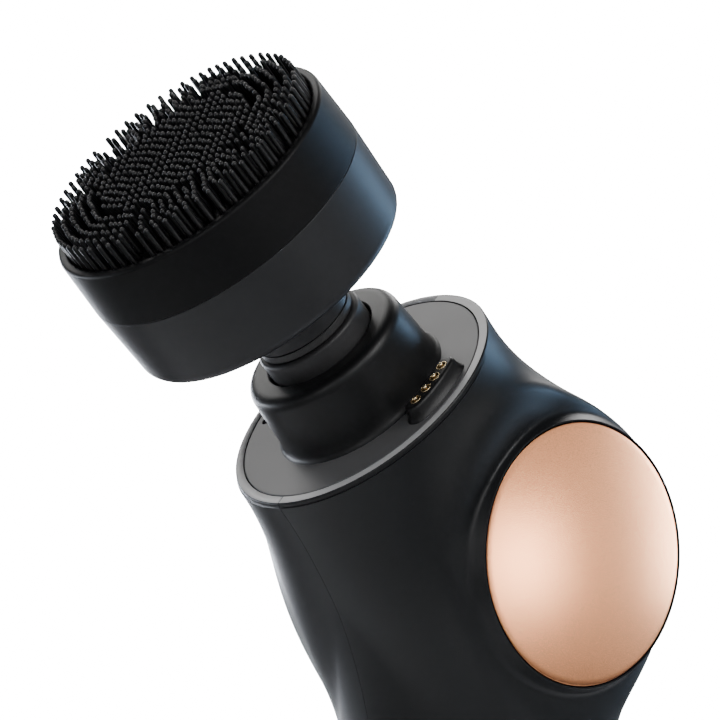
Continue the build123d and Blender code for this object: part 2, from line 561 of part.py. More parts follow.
# ---- brush head ----------------------------------------------------------------------------------
def make_brush():
    floor = BRUSH_LOW + 1.8
    outline = [(SPIGOT_R + 0.2, HUB_LOW), (HUB_R - 0.3, HUB_LOW), (HUB_R, HUB_LOW + 0.3),
               (HUB_R, BRUSH_LOW - 1.2), (HUB_R + 0.35, BRUSH_LOW - 0.35), (HUB_R + 1.2, BRUSH_LOW),
               (BRUSH_LOW_R - 1.3, BRUSH_LOW), (BRUSH_LOW_R - 0.35, BRUSH_LOW + 0.4),
               (BRUSH_LOW_R, BRUSH_LOW + 1.3), (BRUSH_R, BRUSH_SEAM - 0.15), (BRUSH_R - 0.15, BRUSH_SEAM),
               (BRUSH_R - 2.0, BRUSH_SEAM), (BRUSH_R - 2.4, floor), (0, floor), (0, HUB_CEILING),
               (SPIGOT_R + 0.2, HUB_CEILING)]
    housing = turned(outline)
    posts = ring_points(POST_CIRCLE, BRUSH_POST_ANGLES)
    for at in posts:
        housing += tube(BRUSH_POST_R, 0, floor - 0.5, SUPPORT_LOW, at=at)
        housing -= tube(SCREW_CORE_R - 0.05, 0, SUPPORT_LOW - 7, SUPPORT_LOW + 1, at=at)
    parts["brush_housing"] = HEAD * housing
    ring = [(SPIGOT_R + 0.3, HUB_LOW - 0.9), (HUB_R + 0.1, HUB_LOW - 0.9), (HUB_R + 0.3, HUB_LOW - 0.6),
            (HUB_R + 0.3, HUB_LOW - 0.2), (HUB_R + 0.1, HUB_LOW), (SPIGOT_R + 0.3, HUB_LOW)]
    parts["hub_ring"] = turned(ring, HEAD)
    parts["hub_magnet"] = tube(MAGNET_R, 0, HUB_CEILING - 2.2, HUB_CEILING, HEAD)
    skirt_r = BRUSH_R - 2.1
    pad = [(skirt_r, BRUSH_SEAM), (BRUSH_R - 0.15, BRUSH_SEAM), (BRUSH_R, BRUSH_SEAM + 0.15),
           (BRUSH_LIP_R, BRUSH_LIP - 0.8), (BRUSH_LIP_R - 0.25, BRUSH_LIP - 0.25),
           (BRUSH_LIP_R - 0.8, BRUSH_LIP), (FIELD_R, FIELD_LOW + 0.4), (FIELD_R - 0.3, FIELD_LOW),
           (0, FIELD_LOW), (0, SUPPORT_TOP),
           (SUPPORT_R + 0.1, SUPPORT_TOP), (SUPPORT_R + 0.1, SUPPORT_LOW), (skirt_r, SUPPORT_LOW)]
    parts["brush_pad"] = turned(pad, HEAD)
    parts["bristle_field"] = tube(FIELD_R - 0.3, 0, FIELD_LOW, FIELD_TOP, HEAD)
    support = tube(SUPPORT_R, 0, SUPPORT_LOW, SUPPORT_TOP)
    head_low = SUPPORT_TOP - 1.2
    for at in posts:
        support -= tube(SCREW_HOLE_R, 0, SUPPORT_LOW - 1, SUPPORT_TOP + 1, at=at)
        support -= tube(SCREW_HEAD_R + 0.2, 0, head_low, SUPPORT_TOP + 1, at=at)
    parts["pad_support"] = HEAD * support
    parts["pad_clamp_ring"] = tube(SUPPORT_R - 0.2, SUPPORT_R - 2.0, BRUSH_SEAM + 1.0, SUPPORT_LOW, HEAD)
    screws = []
    for at in posts:
        head = tube(SCREW_HEAD_R, 0, head_low, SUPPORT_TOP - 0.1, HEAD, at)
        screws.append(head + tube(SCREW_CORE_R - 0.06, 0, SUPPORT_LOW - 6, head_low, HEAD, at))
    parts["brush_screws"] = group(screws)


make_shells()
make_base()
make_discs()
make_top_plate()
make_collar()
make_contacts()
make_guide()
make_spindle()
make_crank()
make_motor()
make_electronics()
make_display()
make_buttons()
make_brush()

for name, shape in parts.items():
    export_step(shape, f"parts/{name}.step")
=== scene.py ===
import json
import math

import bmesh
import bpy
import numpy as np
from mathutils import Euler, Matrix, Vector


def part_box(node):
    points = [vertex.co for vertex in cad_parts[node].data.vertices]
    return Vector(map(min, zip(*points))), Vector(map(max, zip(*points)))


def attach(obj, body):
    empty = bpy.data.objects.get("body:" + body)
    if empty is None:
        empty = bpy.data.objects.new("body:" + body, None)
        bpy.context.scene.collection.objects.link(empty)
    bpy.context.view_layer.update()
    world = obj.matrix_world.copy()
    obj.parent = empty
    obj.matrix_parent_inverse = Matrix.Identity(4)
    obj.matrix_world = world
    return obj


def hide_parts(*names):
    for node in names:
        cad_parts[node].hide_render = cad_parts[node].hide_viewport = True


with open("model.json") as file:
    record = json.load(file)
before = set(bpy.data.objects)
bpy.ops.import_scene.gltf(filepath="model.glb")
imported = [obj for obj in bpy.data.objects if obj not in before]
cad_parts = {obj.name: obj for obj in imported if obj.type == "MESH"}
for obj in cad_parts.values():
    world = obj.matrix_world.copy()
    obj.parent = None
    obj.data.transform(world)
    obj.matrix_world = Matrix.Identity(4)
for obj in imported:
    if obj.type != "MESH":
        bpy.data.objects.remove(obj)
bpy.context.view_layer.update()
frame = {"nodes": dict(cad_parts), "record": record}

MM = 0.001
SLOPE = math.sqrt(0.5)   # the head leans 45 degrees

JOINT_PLACES = {j["name"]: j for j in frame["record"]["behaviour"]["joints"]}
CORE = Vector(JOINT_PLACES["crank_turn"]["pos_m"]) / MM


def across(node, axis):
    """Size of a CAD node along one row axis."""
    low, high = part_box(node)
    return (high[axis] - low[axis]) / MM


# ---- sizes, read from the CAD nodes or set to match them -------------------------------------------
HEAD_REACH = 35.6
RIM_R = 24.0
PLATE_R = across("top_plate", 0) / 2
PLATE_T = 2.2
PLATE_BORE_R = 11.2
PLATE_HOLE_R, PLATE_HOLE_AT = 0.9, (-19.6, -4.7)
POCKET_R, POCKET_DEPTH = PLATE_R + 0.2, 3.4
LEDGE_R, LEDGE_DEPTH = 20.4, 6.4
CROSS_HALF = across("right_shell", 0)
DISC_R = across("right_gold_disc", 1) / 2
DISC_RISE = 1.2
DISC_LOW, DISC_SKIRT, DISC_HOLLOW = 22.5, 1.0, 23.9
WEB_IN, WEB_OUT, WEB_HOLE_R = 20.2, 22.0, 14.0
WALL = 2.2
COLLAR_TOP = 11.8
NECK_R = across("spindle_head", 0) / 2
NECK_LOW, NECK_TOP = 6.5, 15.2
SPIGOT_R, SPIGOT_TOP = 6.0, 22.4
MAGNET_R, MAGNET_T = 4.6, 2.4
ROD_R, ROD_TOP = 2.5, 12
HUB_R, HUB_LOW, HUB_BORE_TOP = 8.3, 16.6, 25
BRUSH_R = across("brush_housing", 0) / 2
BRUSH_LOW_R = 24.2
BRUSH_LOW, BRUSH_SEAM, BRUSH_LIP = 25.5, 39.0, 48.8
BRUSH_LIP_R = 24.4
FIELD_LOW, FIELD_TOP, FIELD_R = 47.9, 53.0, 22.9
PIN_RING_R, PIN_PITCH, PIN_COUNT = 18.9, 2.54, 4
BLOCK_HALF_ANGLE = math.radians(13.6)
BLOCK_TOP = 2.4
SLEEVE_R, SLEEVE_BORE_R = 0.95, 0.54
PLUNGER_R, PLUNGER_TIP_R, PLUNGER_TOP = 0.5, 0.36, 2.9
BUTTONS = {58.0: 3.4, 46.5: 4.6, 35.0: 3.4}      # height: radius
BASE_LOW, BASE_TOP, BASE_R = 0.8, 3.8, 17.9
WINDOW_W, WINDOW_H = across("display_window", 0), across("display_window", 2)


# ---- places ----------------------------------------------------------------------------------------
def place_from(origin, x_axis, y_axis, z_axis):
    """Matrix from local millimetres to the row frame in metres."""
    turn = Matrix((x_axis, y_axis, z_axis)).transposed().to_4x4()
    return Matrix.Scale(MM, 4) @ Matrix.Translation(origin) @ turn


HEAD_DIR = Vector((0, -SLOPE, SLOPE))
UP_SLOPE = Vector((0, SLOPE, SLOPE))
HEAD = place_from(CORE + HEAD_DIR * HEAD_REACH, (1, 0, 0), UP_SLOPE, HEAD_DIR)
RIGHT = place_from(CORE, (0, 1, 0), (0, 0, 1), (1, 0, 0))
LEFT = place_from(CORE, (0, -1, 0), (0, 0, 1), (-1, 0, 0))
UPRIGHT = place_from((0, 0, 0), (1, 0, 0), (0, 1, 0), (0, 0, 1))


def back_place(height):
    """Local z points out of the back of the handle at a height."""
    return place_from((0, 0, height), (-1, 0, 0), (0, 0, 1), (0, 1, 0))


# ---- mesh helpers ----------------------------------------------------------------------------------
CREASE = 32          # degrees; sharper edges stay crisp
ON_AXIS = 1e-6       # radius under which a turned outline meets its axis
LEAST_SLOPE = 0.05   # keeps a point on a flat spot of a field from being thrown far
ON_SKIN = 0.02       # how near its field a point of the skin lies
ALIGNED = 0.9        # least cosine between a face and the field under it


def add_object(name, mesh):
    piece = bpy.data.objects.new(name, mesh)
    bpy.context.scene.collection.objects.link(piece)
    return piece


def face_outward(mesh):
    shape = bmesh.new()
    shape.from_mesh(mesh)
    bmesh.ops.recalc_face_normals(shape, faces=shape.faces)
    shape.to_mesh(mesh)
    shape.free()


def shade_round(mesh):
    mesh.polygons.foreach_set("use_smooth", [True] * len(mesh.polygons))


def mesh_object(name, points, faces, place=HEAD):
    """Object from local points and faces, with its normals outward."""
    mesh = bpy.data.meshes.new(name)
    mesh.from_pydata([tuple(place @ Vector(p)) for p in points], [], [tuple(f) for f in faces])
    face_outward(mesh)
    return add_object(name, mesh)


def band(start, segments):
    """Quads between the ring of points that starts at an index and the ring after it."""
    quads = []
    for k in range(segments):
        j = (k + 1) % segments
        quads.append((start + k, start + j, start + segments + j, start + segments + k))
    return quads


def smooth(piece, angle=CREASE):
    """Smooth shading with the edges sharper than the angle kept crisp."""
    mesh = piece.data
    shade_round(mesh)
    mesh.set_sharp_from_angle(angle=math.radians(angle))
    weighted = piece.modifiers.new("even_shading", "WEIGHTED_NORMAL")
    weighted.keep_sharp = True
    return piece


def rounded(outline, step=12):
    """Corner points with arcs: each corner is (radius, height) or (radius, height, fillet)."""
    points = []
    count = len(outline)
    for i, corner in enumerate(outline):
        here = Vector(corner[:2])
        fillet = corner[2] if len(corner) > 2 else 0
        if not fillet:
            points.append(here)
            continue
        before = (Vector(outline[i - 1][:2]) - here).normalized()
        after = (Vector(outline[(i + 1) % count][:2]) - here).normalized()
        half = before.angle(after) / 2
        reach = fillet / math.tan(half)
        start, end = here + before * reach, here + after * reach
        centre = here + (before + after).normalized() * (fillet / math.sin(half))
        sweep = math.pi - 2 * half
        parts = max(3, math.ceil(math.degrees(sweep) / step))
        for k in range(parts + 1):
            t = k / parts
            swing = (start - centre) * math.sin((1 - t) * sweep) + (end - centre) * math.sin(t * sweep)
            points.append(centre + swing / math.sin(sweep))
    return points


def turned(name, outline, place=HEAD, segments=192, at=(0, 0)):
    """Closed solid of revolution about the local z axis."""
    profile = rounded(outline)
    points, rings = [], []
    for r, z in profile:
        if r < ON_AXIS:
            rings.append([len(points)] * segments)
            points.append((at[0], at[1], z))
            continue
        rings.append(list(range(len(points), len(points) + segments)))
        for k in range(segments):
            t = 2 * math.pi * k / segments
            points.append((at[0] + r * math.cos(t), at[1] + r * math.sin(t), z))
    faces = []
    for ring, following in zip(rings, rings[1:] + rings[:1]):
        for k in range(segments):
            j = (k + 1) % segments
            corners = [ring[k], ring[j], following[j], following[k]]
            corners = [c for i, c in enumerate(corners) if c not in corners[:i]]
            if len(corners) > 2:
                faces.append(corners)
    return mesh_object(name, points, faces, place)


def prism(name, outline, low, high, place):
    """Closed prism from a flat outline."""
    count = len(outline)
    points = [(x, y, low) for x, y in outline] + [(x, y, high) for x, y in outline]
    faces = [list(range(count)), list(range(count, 2 * count))]
    faces += [(k, (k + 1) % count, (k + 1) % count + count, k + count) for k in range(count)]
    return mesh_object(name, points, faces, place)


def combine(target, cutter, operation="DIFFERENCE"):
    """Boolean of two closed objects; the cutter is used up."""
    change = target.modifiers.new("change", "BOOLEAN")
    change.operation = operation
    change.solver = "MANIFOLD"
    change.object = cutter
    scene = bpy.context.evaluated_depsgraph_get()
    made = bpy.data.meshes.new_from_object(target.evaluated_get(scene))
    target.modifiers.remove(change)
    if not made.polygons:
        raise RuntimeError(f"nothing left of {target.name} after {cutter.name}")
    target.data = made
    bpy.data.objects.remove(cutter)


def soft_min(a, b, reach):
    """The lesser of two fields, blended where they differ by less than the reach."""
    h = np.clip(0.5 + 0.5 * (b - a) / reach, 0, 1)
    return b * (1 - h) + a * h - reach * h * (1 - h)


def soft_max(a, b, reach):
    return -soft_min(-a, -b, reach)


def ease(t):
    """Smooth rise from 0 to 1."""
    t = np.clip(t, 0, 1)
    return t * t * (3 - 2 * t)


def gradient(field, points):
    """Central differences of a field."""
    reach = 0.01
    slopes = []
    for axis in np.eye(3) * reach:
        slopes.append((field(*(points + axis).T) - field(*(points - axis).T)) / (2 * reach))
    return np.array(slopes).T


def skin_of(name, field, low, high, pitch, settle=4):
    """Closed mesh on the zero level of a field of the head frame: one point in each crossed cell,
    moved onto the level in a few settling steps."""
    axes = [np.arange(a, b + pitch, pitch) for a, b in zip(low, high)]
    values = field(*np.meshgrid(*axes, indexing="ij"))
    inside = values < 0
    shape = [n - 1 for n in inside.shape]
    corners = [(i, j, k) for i in (0, 1) for j in (0, 1) for k in (0, 1)]

    def part(grid, corner):
        return grid[tuple(slice(c, c + n) for c, n in zip(corner, shape))]

    total = sum(part(inside, c).astype(np.int8) for c in corners)
    cells = np.argwhere((total > 0) & (total < 8))
    index = np.full(shape, -1)
    index[tuple(cells.T)] = np.arange(len(cells))
    sums = np.zeros((len(cells), 3))
    hits = np.zeros(len(cells))
    for c in corners:
        for axis in range(3):
            if c[axis]:
                continue
            d = tuple(v + (k == axis) for k, v in enumerate(c))
            f0 = values[tuple((cells + c).T)]
            f1 = values[tuple((cells + d).T)]
            crossed = (f0 < 0) != (f1 < 0)
            t = np.where(crossed, f0 / np.where(crossed, f0 - f1, 1), 0)
            spot = np.tile(np.array(c, float), (len(cells), 1))
            spot[:, axis] = t
            sums += spot * crossed[:, None]
            hits += crossed
    points = np.array(low) + (cells + sums / hits[:, None]) * pitch
    for _ in range(settle):
        slope = gradient(field, points)
        move = (field(*points.T) / np.maximum((slope ** 2).sum(1), LEAST_SLOPE))[:, None] * slope
        points -= np.clip(move, -pitch / 2, pitch / 2)
    faces = []
    for axis in range(3):
        ahead = [slice(None)] * 3
        ahead[axis] = slice(1, None)
        behind = [slice(None)] * 3
        behind[axis] = slice(None, -1)
        first, second = inside[tuple(behind)], inside[tuple(ahead)]
        edges = np.argwhere(first != second)
        leaving = first[tuple(edges.T)]
        others = [k for k in range(3) if k != axis]
        ring = []
        for di, dj in ((0, 0), (1, 0), (1, 1), (0, 1)):
            cell = edges.copy()
            cell[:, others[0]] -= di
            cell[:, others[1]] -= dj
            ring.append(index[tuple(cell.T)])
        quads = np.array(ring).T
        turn = leaving if axis != 1 else ~leaving
        quads[~turn] = quads[~turn][:, ::-1]
        faces.append(quads)
    faces = np.concatenate(faces)
    world = np.array(HEAD)
    placed = points @ world[:3, :3].T + world[:3, 3]
    mesh = bpy.data.meshes.new(name)
    mesh.from_pydata(placed.tolist(), [], faces.tolist())
    mesh.update()
    face_outward(mesh)
    return add_object(name, mesh)


def settle_normals(piece, field):
    """Smooth shading that follows the field exactly wherever the mesh lies on it."""
    mesh = piece.data
    shade_round(mesh)
    mesh.set_sharp_from_angle(angle=math.radians(CREASE))
    count = len(mesh.vertices)
    spots = np.empty(count * 3)
    mesh.vertices.foreach_get("co", spots)
    world = np.array(HEAD)
    inverse = np.linalg.inv(world)
    local = spots.reshape(-1, 3) @ inverse[:3, :3].T + inverse[:3, 3]
    on_skin = np.abs(field(*local.T)) < ON_SKIN
    slope = gradient(field, local) @ world[:3, :3].T
    slope /= np.maximum(np.linalg.norm(slope, axis=1), 1e-9)[:, None]
    face_normals = np.empty(len(mesh.polygons) * 3)
    mesh.polygons.foreach_get("normal", face_normals)
    face_normals = face_normals.reshape(-1, 3)
    loop_points = np.empty(len(mesh.loops), dtype=np.int32)
    mesh.loops.foreach_get("vertex_index", loop_points)
    loop_faces = np.repeat(np.arange(len(mesh.polygons)), [len(p.vertices) for p in mesh.polygons])
    agreement = (slope[loop_points] * face_normals[loop_faces]).sum(1)
    follows = on_skin[loop_points] & (agreement > ALIGNED)
    whole = np.ones(len(mesh.polygons), dtype=bool)
    np.logical_and.at(whole, loop_faces, follows)
    normals = np.where(whole[loop_faces][:, None], slope[loop_points], 0)
    mesh.normals_split_custom_set(normals.tolist())


# ---- materials -------------------------------------------------------------------------------------
BROAD_PATCH = 14       # millimetres
COAT_ROUGHNESS = 0.12


def surface(name, colour, roughness, metallic=0.0, grain=0.35, bump=0.06, vary=0.12, spread=0.06,
            specular=0.5, coat=0.0, mottle=0.5, stretch=(1, 1, 1)):
    """Procedural surface: a grain of a size in millimetres makes the relief, and the grain mixed with
    broad patches, whose share is mottle, varies the colour and the roughness."""
    made = bpy.data.materials.new(name)
    made.use_nodes = True
    nodes, links = made.node_tree.nodes, made.node_tree.links
    shader = nodes["Principled BSDF"]
    shader.inputs["Metallic"].default_value = metallic
    shader.inputs["Specular IOR Level"].default_value = specular
    shader.inputs["Coat Weight"].default_value = coat
    shader.inputs["Coat Roughness"].default_value = COAT_ROUGHNESS
    where = nodes.new("ShaderNodeTexCoord")
    scale = nodes.new("ShaderNodeMapping")
    scale.inputs["Scale"].default_value = stretch
    links.new(where.outputs["Object"], scale.inputs["Vector"])

    def noise(size, detail):
        node = nodes.new("ShaderNodeTexNoise")
        node.inputs["Scale"].default_value = 1 / (size * MM)
        node.inputs["Detail"].default_value = detail
        links.new(scale.outputs["Vector"], node.inputs["Vector"])
        return node

    fine, broad = noise(grain, 3), noise(BROAD_PATCH, 2)
    tone = nodes.new("ShaderNodeMixRGB")
    tone.inputs["Color1"].default_value = (*[c * (1 - vary) for c in colour], 1)
    tone.inputs["Color2"].default_value = (*[min(1, c * (1 + vary)) for c in colour], 1)
    blend = nodes.new("ShaderNodeMath")
    blend.operation = "MULTIPLY_ADD"
    blend.inputs[1].default_value = 1 - mottle
    links.new(fine.outputs["Fac"], blend.inputs[0])
    patches = nodes.new("ShaderNodeMath")
    patches.operation = "MULTIPLY"
    patches.inputs[1].default_value = mottle
    links.new(broad.outputs["Fac"], patches.inputs[0])
    links.new(patches.outputs["Value"], blend.inputs[2])
    links.new(blend.outputs["Value"], tone.inputs["Fac"])
    links.new(tone.outputs["Color"], shader.inputs["Base Color"])
    gloss = nodes.new("ShaderNodeMapRange")
    gloss.inputs["To Min"].default_value = max(0.03, roughness - spread)
    gloss.inputs["To Max"].default_value = min(1, roughness + spread)
    links.new(blend.outputs["Value"], gloss.inputs["Value"])
    links.new(gloss.outputs["Result"], shader.inputs["Roughness"])
    relief = nodes.new("ShaderNodeBump")
    relief.inputs["Strength"].default_value = bump
    relief.inputs["Distance"].default_value = grain * MM * 0.5
    links.new(fine.outputs["Fac"], relief.inputs["Height"])
    links.new(relief.outputs["Normal"], shader.inputs["Normal"])
    return made


SURFACES = {
    "soft_touch_body": surface("soft_touch", (0.005, 0.0055, 0.0065), 0.42, grain=0.16, bump=0.1,
                               specular=0.34),
    "base_plastic": surface("base_plastic", (0.02, 0.02, 0.022), 0.55, grain=0.3, bump=0.3),
    "seal_rubber": surface("seal_rubber", (0.012, 0.012, 0.012), 0.75, grain=0.25, bump=0.25),
    "plate_grey": surface("plate_grey", (0.085, 0.085, 0.087), 0.46, grain=0.14, bump=0.2, vary=0.08),
    "collar_black": surface("collar_black", (0.004, 0.004, 0.0045), 0.4, grain=0.2, bump=0.1, specular=0.3),
    "rose_gold": surface("rose_gold", (0.72, 0.3, 0.14), 0.22, 1.0, grain=0.18, bump=0.09, vary=0.42,
                         mottle=0.1),
    "gold_contact": surface("gold_contact", (0.85, 0.68, 0.42), 0.25, 1.0, grain=0.5, bump=0.01,
                            spread=0.03),
    "frame_nylon": surface("frame_nylon", (0.05, 0.05, 0.053), 0.6, grain=0.5, bump=0.25,
                           stretch=(1, 1, 4)),
    "bronze": surface("bronze", (0.5, 0.32, 0.13), 0.42, 1.0, grain=0.18, bump=0.3, vary=0.25),
    "spindle_black": surface("spindle_black", (0.02, 0.02, 0.021), 0.5, grain=0.2),
    "magnet_nickel": surface("magnet_nickel", (0.68, 0.67, 0.63), 0.25, 1.0, grain=0.4),
    "steel": surface("steel", (0.58, 0.58, 0.59), 0.3, 1.0, grain=0.12, bump=0.12, stretch=(8, 1, 1)),
    "cast_frame": surface("cast_frame", (0.17, 0.17, 0.18), 0.6, grain=0.6, bump=0.3, vary=0.2),
    "lamination_steel": surface("lamination", (0.3, 0.29, 0.28), 0.4, 1.0, bump=0.5, stretch=(6, 1, 1)),
    "copper_wire": surface("copper_wire", (0.7, 0.29, 0.11), 0.3, 1.0, grain=0.4, bump=0.6,
                           stretch=(5, 1, 1)),
    "dark_screw": surface("dark_screw", (0.1, 0.1, 0.11), 0.35, 1.0, grain=0.15, bump=0.1),
    "circuit_board": surface("circuit_board", (0.015, 0.11, 0.05), 0.3, grain=0.8, bump=0.15, vary=0.3,
                             coat=0.4),
    "chip_black": surface("chip_black", (0.015, 0.015, 0.017), 0.5, grain=0.2, bump=0.2),
    "cell_wrap": surface("cell_wrap", (0.03, 0.13, 0.32), 0.3, grain=1.5, bump=0.1, coat=0.3),
    "display_glass": surface("display_glass", (0.004, 0.004, 0.005), 0.08, grain=2, bump=0.01, spread=0.02,
                             coat=0.5),
    "button_rubber": surface("button_rubber", (0.02, 0.02, 0.022), 0.55, grain=0.16, bump=0.25),
    "brush_plastic": surface("brush_plastic", (0.016, 0.0163, 0.018), 0.42, grain=0.16, bump=0.08,
                             specular=0.35),
    "hub_gloss": surface("hub_gloss", (0.02, 0.02, 0.02), 0.46, grain=0.4, bump=0.03),
    "silicone_black": surface("silicone", (0.003, 0.003, 0.0034), 0.48, grain=0.3, specular=0.19),
}
# Painted highlight: the flat face of the rim is made light grey so that it looks lit from above.
RIM_PAINTED_HIGHLIGHT = surface("rim_painted_highlight", (0.42, 0.42, 0.423), 0.42, grain=0.14, bump=0.12, vary=0.08)
BRISTLE = surface("bristle_silicone", (0.003, 0.003, 0.0034), 0.32, grain=0.4, bump=0.02)


def dress(piece, body, slot, *nodes, finish=None):
    """Gives a piece its body, slot, finish and the CAD nodes that it stands for."""
    piece.data.materials.clear()
    piece.data.materials.append(finish or SURFACES[slot])
    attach(piece, body)
    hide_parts(*nodes)


# ---- body skin -------------------------------------------------------------------------------------
# The head tube: its radius at the core, its growth to the rim and its run past the core.
HEAD_ROOT_R, HEAD_FLARE, HEAD_TAIL = 22.5, 1.5, 12
CROSS_R, CROSS_REACH = 23.2, 22.6
HANDLE_R, HANDLE_TAPER, HANDLE_TOP = 22.5, 3, 6
TAPER_START, TAPER_RUN, TAPER_EASE = -15, 65, 0.15
# How far the body reaches sideways, and how it widens near the rim.
CAP, CAP_GROWTH, CAP_START, CAP_RUN = 22.9, 4, 18, 14
LIP_R, LIP_SLOPE, LIP_LOW = 21.3, 0.5, 20
TINY = 1e-6       # keeps each axis off a zero radius
FAR = 130         # outside the body
SEAM_GAP = 0.06   # from the middle plane to each shell


def body_field(n, u, a):
    """Distance-like field of the blended body: head, cross tube, handle, and a conical lip at each disc."""
    along = a + HEAD_REACH
    back, rise = (u - along) * SLOPE, (u + along) * SLOPE
    side = np.abs(n)
    head_r = HEAD_ROOT_R + HEAD_FLARE * np.clip(along / HEAD_REACH, 0, 1) ** 1.5
    head = soft_max(np.hypot(n, u) + TINY - head_r, -along - HEAD_TAIL, 20)
    cross_r = np.hypot(u, along) + TINY
    cross = soft_max(cross_r - CROSS_R, side - CROSS_REACH, 4)
    taper = np.clip((TAPER_START - rise) / TAPER_RUN, 0, 2)
    handle_r = HANDLE_R - HANDLE_TAPER * taper ** 2 / (taper + TAPER_EASE)
    handle = soft_max(np.hypot(n, back) + TINY - handle_r, rise - HANDLE_TOP, 14)
    middle = 1 - ease(side / 16)
    # The handle joins tightly in front and behind on the middle plane, and widely at the sides.
    reach = 1 + 11 * (1 - middle * ease((np.abs(back) - 5) / 15))
    d = soft_min(cross, handle, reach)
    # The head joins tightly at the top of the middle plane, widely at the sides and more so underneath.
    under = ease(0.5 - u / 30)
    reach = 1 + 14 * (1 - middle * ease(u / 20)) + 9 * under * (1 - ease(side / 30))
    d = soft_min(d, head, reach)
    d = soft_max(d, side - (CAP + CAP_GROWTH * ease((along - CAP_START) / CAP_RUN)), 3)
    cone = (cross_r - (LIP_R + (CROSS_HALF - side) * LIP_SLOPE)) / np.hypot(1, LIP_SLOPE)
    cone = soft_max(cone, LIP_LOW - side, 1)
    return soft_min(d, cone, 0.7)


def row_height(u, a):
    return CORE.z + (u + a + HEAD_REACH) * SLOPE


def outer_field(n, u, a):
    """Right half of the body, a little past every face that is trimmed later."""
    cuts = [n - 25.8, -1 - n, a - 0.9, -1.2 - row_height(u, a)]
    return np.maximum.reduce([body_field(n, u, a), *cuts])


def cavity_field(n, u, a):
    """Hollow of the right shell, which stops short of the rim, the web and the foot."""
    cuts = [n - WEB_IN, -1.2 - n, a + 5.8, 3 - row_height(u, a)]
    return np.maximum.reduce([body_field(n, u, a) + WALL, *cuts])


def tongue_field(n, u, a):
    """Strip inside the wall that bridges the gap between the shells and keeps it dark."""
    skin = body_field(n, u, a)
    cuts = [np.abs(n) - 0.6, a + 4, 4 - row_height(u, a)]
    return np.maximum.reduce([skin + 0.9, 0.3 - WALL - skin, *cuts])


def trim_body(outer):
    """Turned envelopes give the rim, the lip and the foot their exact edges."""
    rim = [(0, 0), (RIM_R, 0, 0.35), (RIM_R + 0.06, -0.8), (40, -3), (FAR, -8), (FAR, -FAR), (0, -FAR)]
    lip = [(0, CROSS_HALF), (21.32, CROSS_HALF, 0.12), (21.6, 24.62), (22.2, 25.6), (FAR, 30),
           (FAR, SEAM_GAP), (0, SEAM_GAP)]
    foot = [(0, BASE_LOW), (19.9, BASE_LOW, 0.7), (20.1, 2.2), (40, 4), (FAR, 10), (FAR, 150), (0, 150)]
    for outline, place in ((rim, HEAD), (lip, RIGHT), (foot, UPRIGHT)):
        combine(outer, turned("envelope", outline, place, 256), "INTERSECT")


def open_body(outer):
    """Openings for the plate, the disc, the base cap, the buttons and the display window."""
    pocket = [(0, 5), (POCKET_R, 5), (POCKET_R, -POCKET_DEPTH), (LEDGE_R, -POCKET_DEPTH),
              (LEDGE_R, -LEDGE_DEPTH), (0, -LEDGE_DEPTH)]
    disc = [(0, 30), (DISC_R + 0.2, 30), (DISC_R + 0.2, WEB_OUT), (WEB_HOLE_R, WEB_OUT),
            (WEB_HOLE_R, WEB_IN - 0.8), (0, WEB_IN - 0.8)]
    base = [(0, -5), (BASE_R, -5), (BASE_R, BASE_TOP), (0, BASE_TOP)]
    for outline, place in ((pocket, HEAD), (disc, RIGHT), (base, UPRIGHT)):
        combine(outer, turned("opening", outline, place, 256))
    for height, radius in BUTTONS.items():
        hole = [(0, 12), (radius + 0.2, 12), (radius + 0.2, 30), (0, 30)]
        combine(outer, turned("button_hole", hole, back_place(height), 96))
    w, h, corner = WINDOW_W / 2 + 0.1, WINDOW_H / 2 + 0.1, 2.6
    window = rounded([(-w, -h, corner), (w, -h, corner), (w, h, corner), (-w, h, corner)], 10)
    combine(outer, prism("window_hole", window, 14, 34, back_place(CORE.z)))


def make_body():
    """Two mirrored shells: blended outer skin, trimmed, less its cavity and openings."""
    low, high = (-1.5, -78, -113), (26.5, 27, 2)
    outer = skin_of("right_body_skin", outer_field, low, high, 0.5)
    cavity = skin_of("cavity", cavity_field, low, high, 0.8, settle=2)
    trim_body(outer)
    combine(outer, cavity)
    tongue = skin_of("tongue", tongue_field, (-1.4, -78, -113), (1.4, 27, 2), 0.4, settle=2)
    combine(outer, tongue, "UNION")
    open_body(outer)
    settle_normals(outer, body_field)
    dress(outer, "handpiece", "soft_touch_body", "right_shell")
    outer.data.materials.append(RIM_PAINTED_HIGHLIGHT)
    # The flat face of the rim has its own satin material, painted light grey as a painted highlight for the
    # light that falls on it.
    inverse = HEAD.inverted()
    for face in outer.data.polygons:
        if (inverse @ face.center).z > -0.02:
            face.material_index = 1
    mirrored = outer.data.copy()
    made = bmesh.new()
    made.from_mesh(mirrored)
    for vertex in made.verts:
        vertex.co.x = -vertex.co.x
    bmesh.ops.reverse_faces(made, faces=made.faces)
    made.to_mesh(mirrored)
    made.free()
    other = add_object("left_body_skin", mirrored)
    settle_normals(other, body_field)
    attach(other, "handpiece")
    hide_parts("left_shell")


# ---- collar ----------------------------------------------------------------------------------------
COLLAR_R, COLLAR_LEAN, COLLAR_FLARE, COLLAR_FLARE_H = 14.6, 0.06, 0.75, 0.6
BLOCK_R, BLOCK_LEAN, BLOCK_FLARE, BLOCK_FLARE_H = 1.62, 0.12, 0.6, 0.5
BLOCK_OUT = 21.3                     # a little inside the plate's edge
CHAMBER_R, CHAMBER_TOP = 11.4, 8.8   # room for the wiper seal
THROAT_R = 10.2


